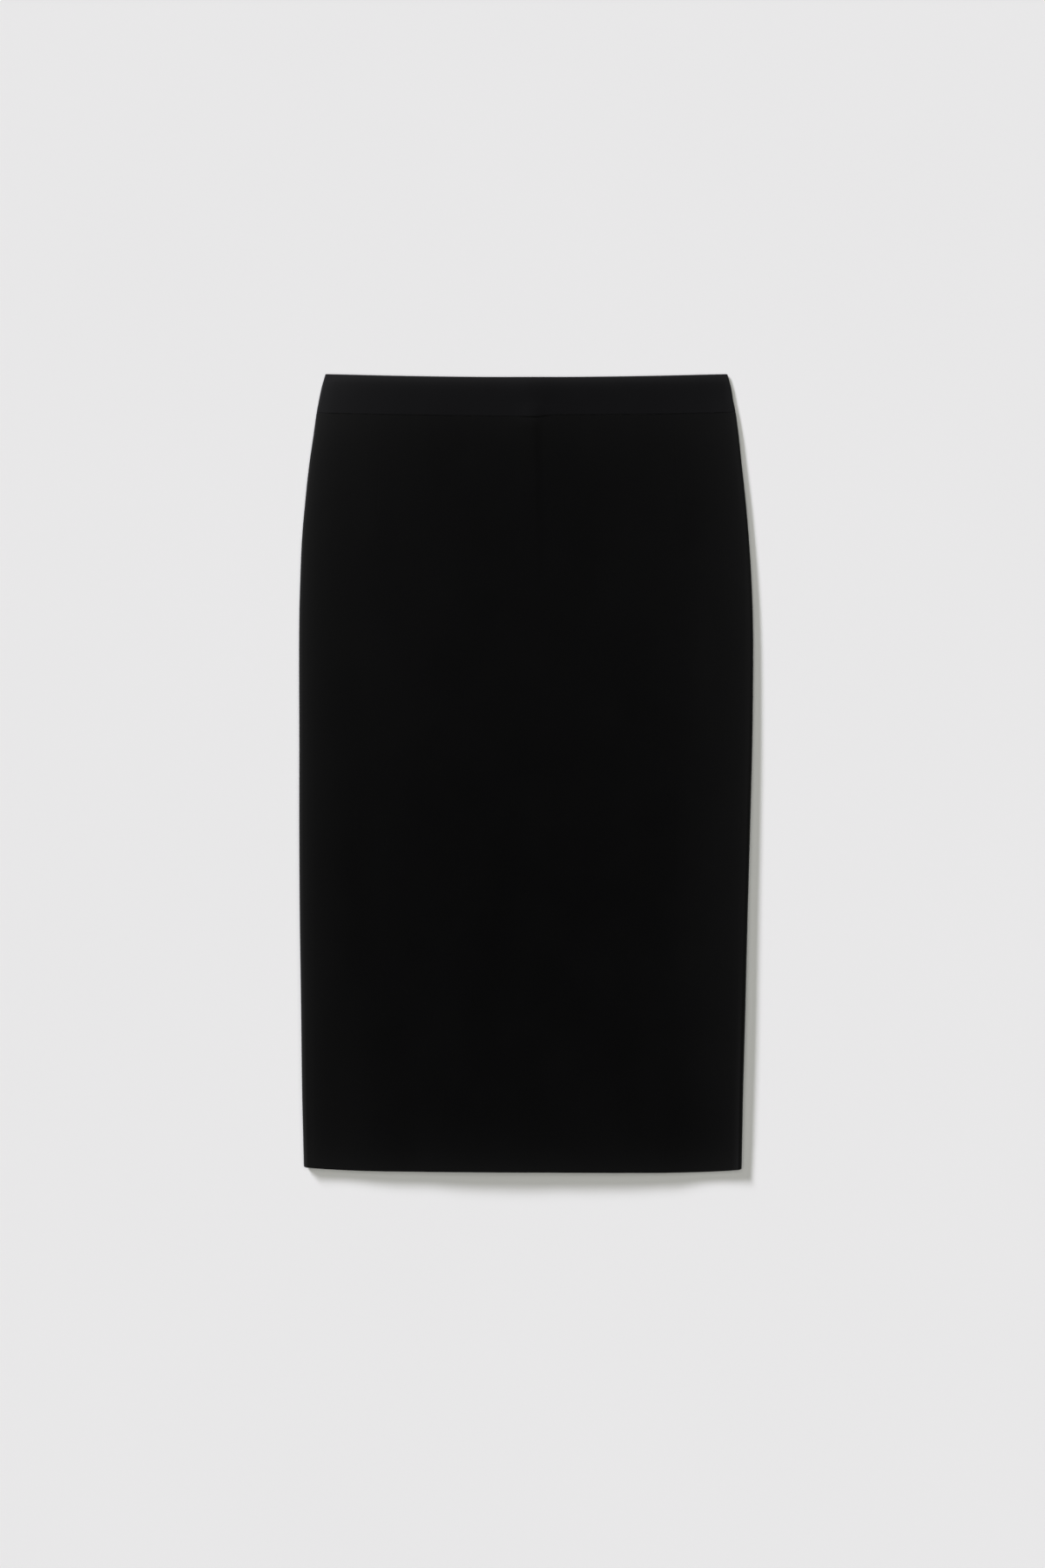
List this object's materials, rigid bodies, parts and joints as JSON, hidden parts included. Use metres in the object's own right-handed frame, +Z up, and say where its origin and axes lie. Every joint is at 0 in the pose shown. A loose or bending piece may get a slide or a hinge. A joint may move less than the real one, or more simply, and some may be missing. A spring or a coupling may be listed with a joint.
{
  "type": "pencil skirt",
  "caption": "Black crepe pencil skirt laid flat on its back, straight waistband, concealed back zip and back vent.",
  "frame": {"origin": "middle of the skirt's outline, on the surface that it lies on", "axes": "+Y towards the waist, +X to the wearer's left, +Z up from the surface, through the back and then the front"},
  "size_m": [0.4291, 0.7536, 0.012],
  "materials": {
    "crepe": "matt polyester crepe, piece dyed black",
    "zip_tape": "knitted polyester zip tape with a nylon coil, black",
    "zip_metal": "zinc alloy enamelled black, satin"
  },
  "bodies": {
    "skirt": {"front_panel": "crepe", "back_panel_left": "crepe", "back_panel_right": "crepe", "vent_underlap": "crepe", "waistband_front": "crepe", "waistband_back_left": "crepe", "waistband_back_right": "crepe", "zip_tape_left": "zip_tape", "zip_tape_right": "zip_tape", "zip_slider": "zip_metal"},
    "pull": {"zip_pull": "zip_metal"}
  },
  "joints": [
    {"name": "pull_swing", "type": "hinge", "parent": "skirt", "child": "pull", "pos_m": [0.00608, 0.36549, 0.00115], "axis": [1, 0, 0], "range_deg": [0, 150]}
  ]
}
